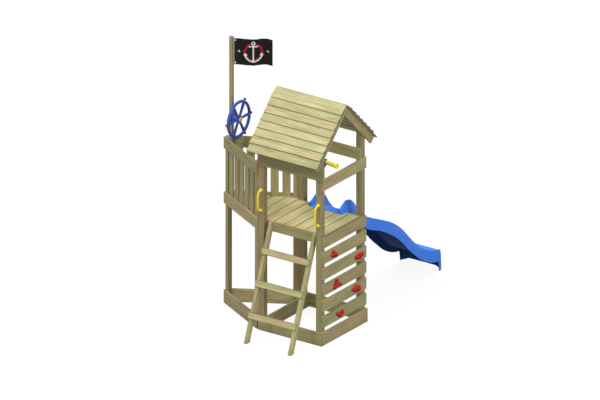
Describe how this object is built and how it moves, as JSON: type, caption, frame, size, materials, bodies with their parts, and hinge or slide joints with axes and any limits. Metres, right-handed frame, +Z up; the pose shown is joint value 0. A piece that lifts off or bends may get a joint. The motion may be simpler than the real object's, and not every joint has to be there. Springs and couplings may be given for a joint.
{
  "type": "play tower",
  "caption": "Timber play tower shaped like a small ship, with a lapped pitched roof, pointed bow, mast and flag, ladder, climbing wall, steering wheel, telescope and wave slide.",
  "frame": {"origin": "the middle of the footprint, at ground level", "axes": "+Z up the posts; +X from the bow to the climbing wall; +Y from the ladder to the slide's toe"},
  "size_m": [1.9476, 3.3936, 3.622],
  "materials": {
    "post_wood": "planed, pressure-treated softwood",
    "board_wood": "planed, pressure-treated softwood",
    "deck_wood": "planed, pressure-treated softwood",
    "roof_wood": "planed, pressure-treated softwood",
    "slide_plastic": "moulded, semi-gloss",
    "blue_plastic": "moulded, satin",
    "yellow_plastic": "moulded, satin",
    "red_plastic": "moulded, lightly textured",
    "flag_cloth": "woven polyester",
    "steel": "zinc plated"
  },
  "bodies": {
    "tower": {"base_board_back": "board_wood", "base_board_front": "board_wood", "base_board_left": "board_wood", "base_board_right": "board_wood", "beam_back": "board_wood", "beam_front": "board_wood", "bow_base_board_back": "board_wood", "bow_base_board_front": "board_wood", "bow_deck": "deck_wood", "bow_mid_board_back": "board_wood", "bow_mid_board_front": "board_wood", "bow_railing_back": "board_wood", "bow_railing_front": "board_wood", "bow_stem_post": "post_wood", "bow_upright_back": "post_wood", "bow_upright_front": "post_wood", "climbing_board_1": "board_wood", "climbing_board_2": "board_wood", "climbing_board_3": "board_wood", "climbing_board_4": "board_wood", "climbing_board_5": "board_wood", "deck_fascia_back": "board_wood", "deck_fascia_front": "board_wood", "deck_fascia_right": "board_wood", "deck_floor": "deck_wood", "flag": "flag_cloth", "flag_hook_lower": "steel", "flag_hook_upper": "steel", "handle_left": "yellow_plastic", "handle_right": "yellow_plastic", "hold_lower_back": "red_plastic", "hold_lower_front": "red_plastic", "hold_middle_front": "red_plastic", "hold_upper_back": "red_plastic", "hold_upper_front": "red_plastic", "ladder_rung_1": "deck_wood", "ladder_rung_2": "deck_wood", "ladder_rung_3": "deck_wood", "ladder_stringer_left": "board_wood", "ladder_stringer_right": "board_wood", "mast": "post_wood", "post_back_left": "post_wood", "post_back_right": "post_wood", "post_front_left": "post_wood", "post_front_right": "post_wood", "rafter_back_left": "board_wood", "rafter_back_right": "board_wood", "rafter_front_left": "board_wood", "rafter_front_right": "board_wood", "rail_right": "board_wood", "roof_panel_back": "roof_wood", "roof_panel_front": "roof_wood", "slide": "slide_plastic", "telescope_base": "blue_plastic", "wheel_axle": "steel", "wheel_bracket": "blue_plastic"},
    "wheel": {"steering_wheel": "blue_plastic", "wheel_cap": "yellow_plastic"},
    "telescope_fork": {"telescope_yoke": "blue_plastic"},
    "telescope_barrel": {"telescope_tube": "yellow_plastic"}
  },
  "joints": [
    {"name": "wheel_turn", "type": "hinge", "parent": "tower", "child": "wheel", "pos_m": [-0.76305, -0.72324, 2.525], "axis": [1, 0, 0], "continuous": true},
    {"name": "telescope_swivel", "type": "hinge", "parent": "tower", "child": "telescope_fork", "pos_m": [0.78785, -1.12074, 2.43], "axis": [0, 1, 0], "range_deg": [-40, 50]},
    {"name": "telescope_swing", "type": "hinge", "parent": "telescope_fork", "child": "telescope_barrel", "pos_m": [0.78785, -1.05074, 2.43], "axis": [0.0872, 0, 0.9962], "range_deg": [-20, 20]}
  ]
}
